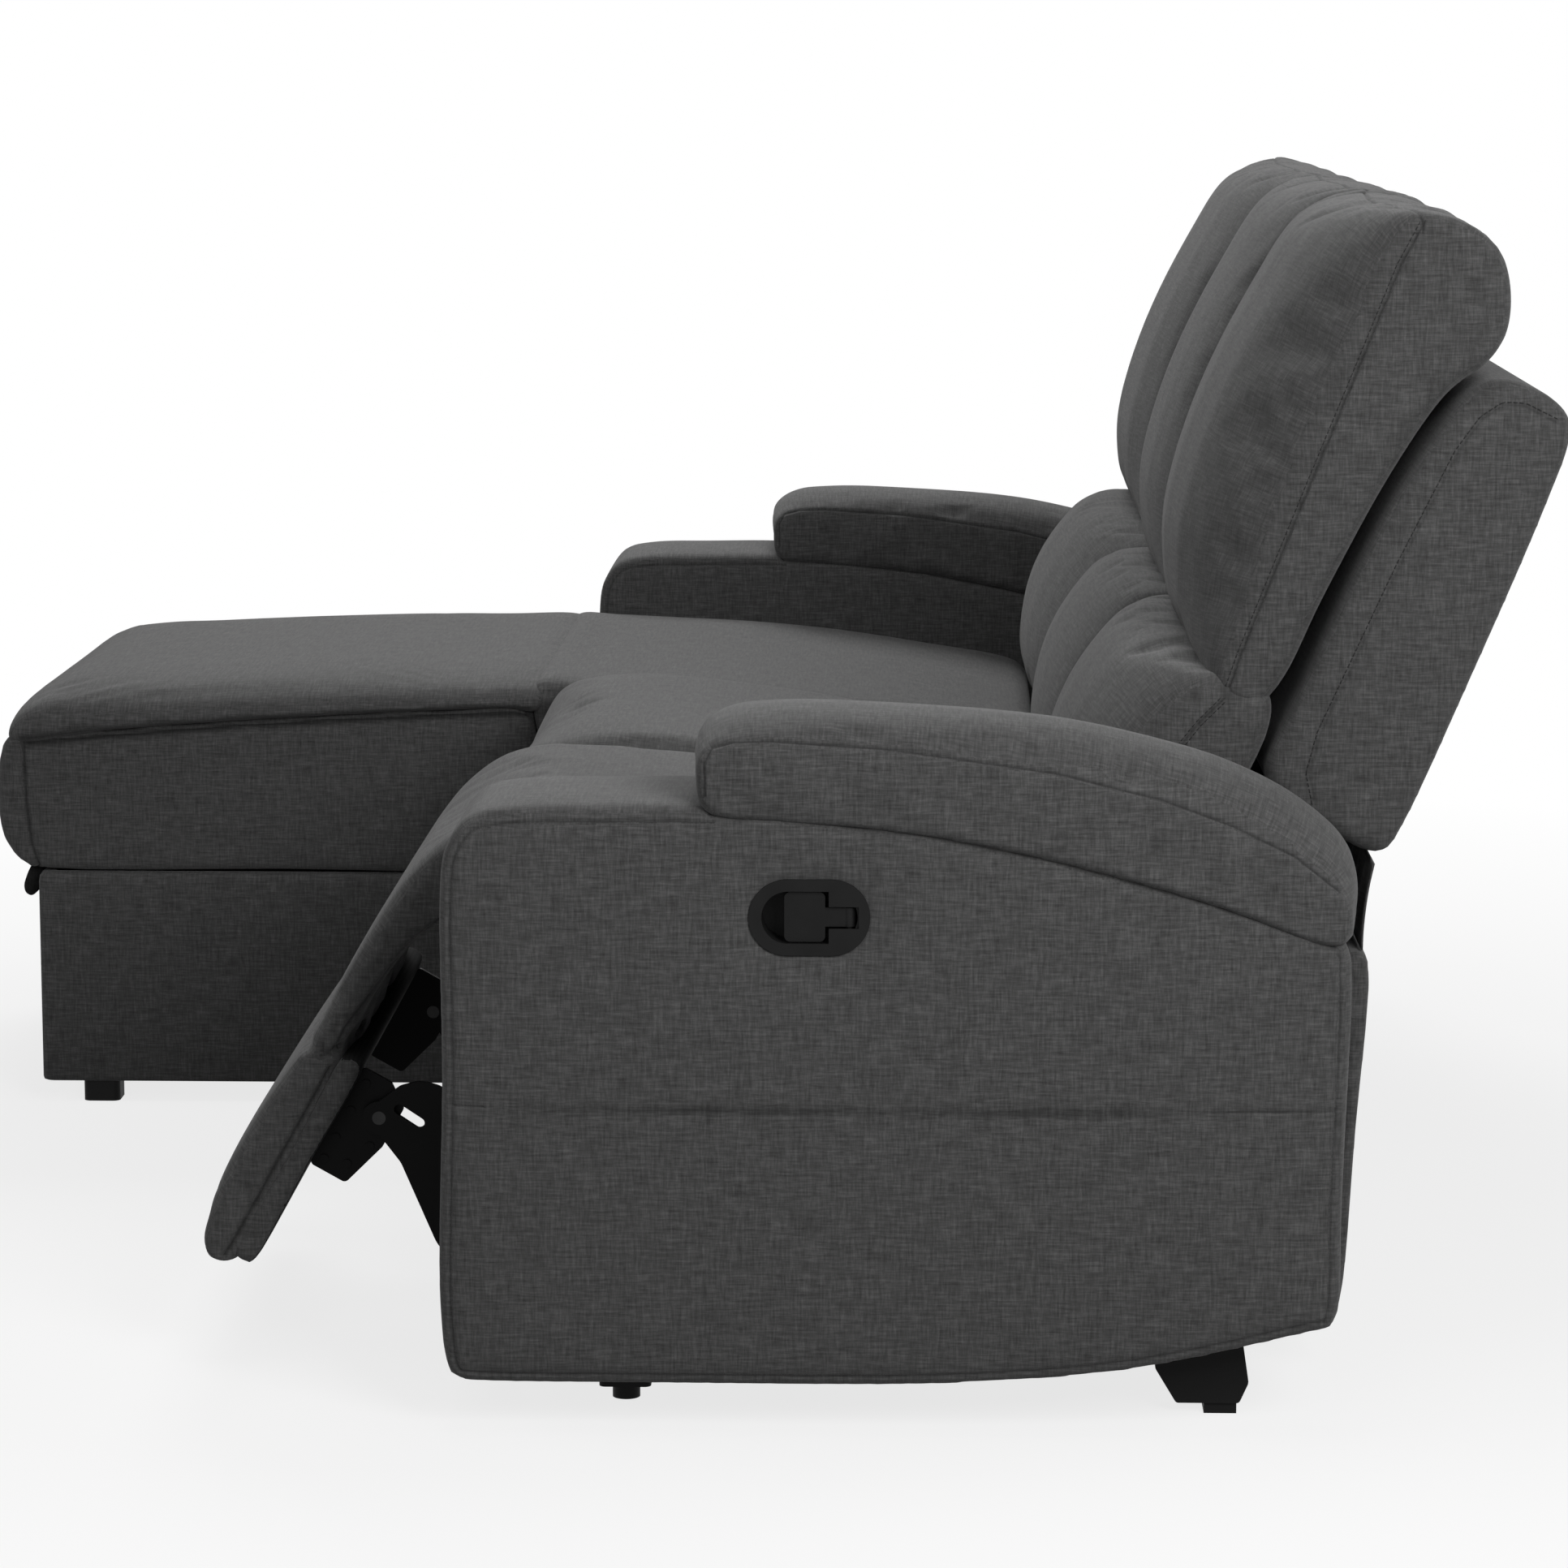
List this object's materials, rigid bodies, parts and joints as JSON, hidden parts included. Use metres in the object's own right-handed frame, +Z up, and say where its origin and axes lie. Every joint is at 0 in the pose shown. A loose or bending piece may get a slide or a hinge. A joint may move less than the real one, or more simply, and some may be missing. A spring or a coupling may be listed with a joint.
{
  "type": "reclining corner sofa",
  "caption": "Upholstered corner sofa: an end seat that reclines with a fold-out footrest on links, a middle seat, and a chaise whose front lifts as a storage lid; padded arms.",
  "frame": {"origin": "on the floor under the middle of the sofa's box", "axes": "+X along the sofa towards the recliner's arm, +Y to the rear, so the sofa faces -Y, +Z up"},
  "size_m": [2.14, 1.5562, 1.0272],
  "materials": {
    "upholstery": "charcoal linen weave",
    "frame_wood": "raw plywood and softwood",
    "foam": "upholstery foam",
    "webbing": "black woven strap",
    "black_steel": "black satin paint",
    "pin_steel": "plain zinc",
    "black_plastic": "matte black"
  },
  "bodies": {
    "sofa_frame": {"back_posts": "black_steel", "block_feet": "black_plastic", "chaise_back_cover": "upholstery", "chaise_back_frame": "frame_wood", "chaise_back_pillow": "upholstery", "chaise_base": "frame_wood", "chaise_bin": "upholstery", "chaise_deck": "frame_wood", "chaise_feet": "black_plastic", "chaise_lumbar": "upholstery", "chaise_seat_cushion": "upholstery", "far_arm_cover": "upholstery", "far_arm_frame": "frame_wood", "far_arm_pad": "upholstery", "fixed_rear_panels": "upholstery", "footrest_flap": "upholstery", "lever_cup": "black_plastic", "lever_pin": "pin_steel", "lid_hinge_base": "black_steel", "mechanism_pins": "pin_steel", "mechanism_plates": "black_steel", "middle_back_cover": "upholstery", "middle_back_frame": "frame_wood", "middle_back_pillow": "upholstery", "middle_base": "frame_wood", "middle_front_panel": "upholstery", "middle_lumbar": "upholstery", "middle_seat_cushion": "upholstery", "near_arm_cover": "upholstery", "near_arm_frame": "frame_wood", "near_arm_pad": "upholstery", "near_base": "frame_wood", "near_rear_panel": "upholstery", "near_seat_cushion": "upholstery", "rear_feet": "black_plastic", "rear_skirt": "upholstery", "recline_plates": "black_steel", "release_cable": "black_plastic", "seat_webbing": "webbing", "section_bolts": "pin_steel"},
    "backrest": {"near_back_frame": "frame_wood", "near_back_cover": "upholstery", "near_back_pillow": "upholstery", "near_lumbar": "upholstery", "recline_arms": "black_steel"},
    "footrest": {"footrest_board": "upholstery", "footrest_pad": "upholstery", "footrest_brackets": "black_steel", "footrest_pins": "pin_steel"},
    "lower_links": {"lower_links": "black_steel", "torque_tube": "black_steel"},
    "upper_links": {"upper_links": "black_steel"},
    "lever": {"lever_paddle": "black_plastic"},
    "chaise_lid": {"lid_board": "frame_wood", "lid_border": "upholstery", "lid_core": "foam", "lid_cushion": "upholstery", "lid_pull_tab": "webbing", "lid_hinge_leaf": "black_steel"}
  },
  "joints": [
    {"name": "footrest_swing", "type": "hinge", "parent": "sofa_frame", "child": "footrest", "pos_m": [0.61, -0.17802, 0.44], "axis": [-1, 0, 0], "range_deg": [-29.4, 55.6], "deforming": ["footrest_flap"]},
    {"name": "lower_link_swing", "type": "hinge", "parent": "sofa_frame", "child": "lower_links", "pos_m": [0.61, -0.07302, 0.272], "axis": [-1, 0, 0], "range_deg": [-29.4, 55.6]},
    {"name": "upper_link_swing", "type": "hinge", "parent": "lower_links", "child": "upper_links", "pos_m": [0.61, -0.14045, 0.05517], "axis": [-1, 0, 0], "range_deg": [-55.6, 29.4]},
    {"name": "back_recline", "type": "hinge", "parent": "sofa_frame", "child": "backrest", "pos_m": [0.61, 0.47198, 0.4], "axis": [-1, 0, 0], "range_deg": [0, 25], "deforming": ["rear_skirt"]},
    {"name": "lever_pull", "type": "hinge", "parent": "sofa_frame", "child": "lever", "pos_m": [1.062, 0.17398, 0.446], "axis": [0, 0, 1], "range_deg": [0, 35], "stiffness_Nm_per_rad": 0.4},
    {"name": "chaise_lid_lift", "type": "hinge", "parent": "sofa_frame", "child": "chaise_lid", "pos_m": [-0.54, -0.18802, 0.44], "axis": [-1, 0, 0], "range_deg": [0, 60]}
  ],
  "couplings": [
    {"joint": "lower_link_swing", "follows": "footrest_swing", "ratio": 1},
    {"joint": "upper_link_swing", "follows": "footrest_swing", "ratio": -1}
  ]
}
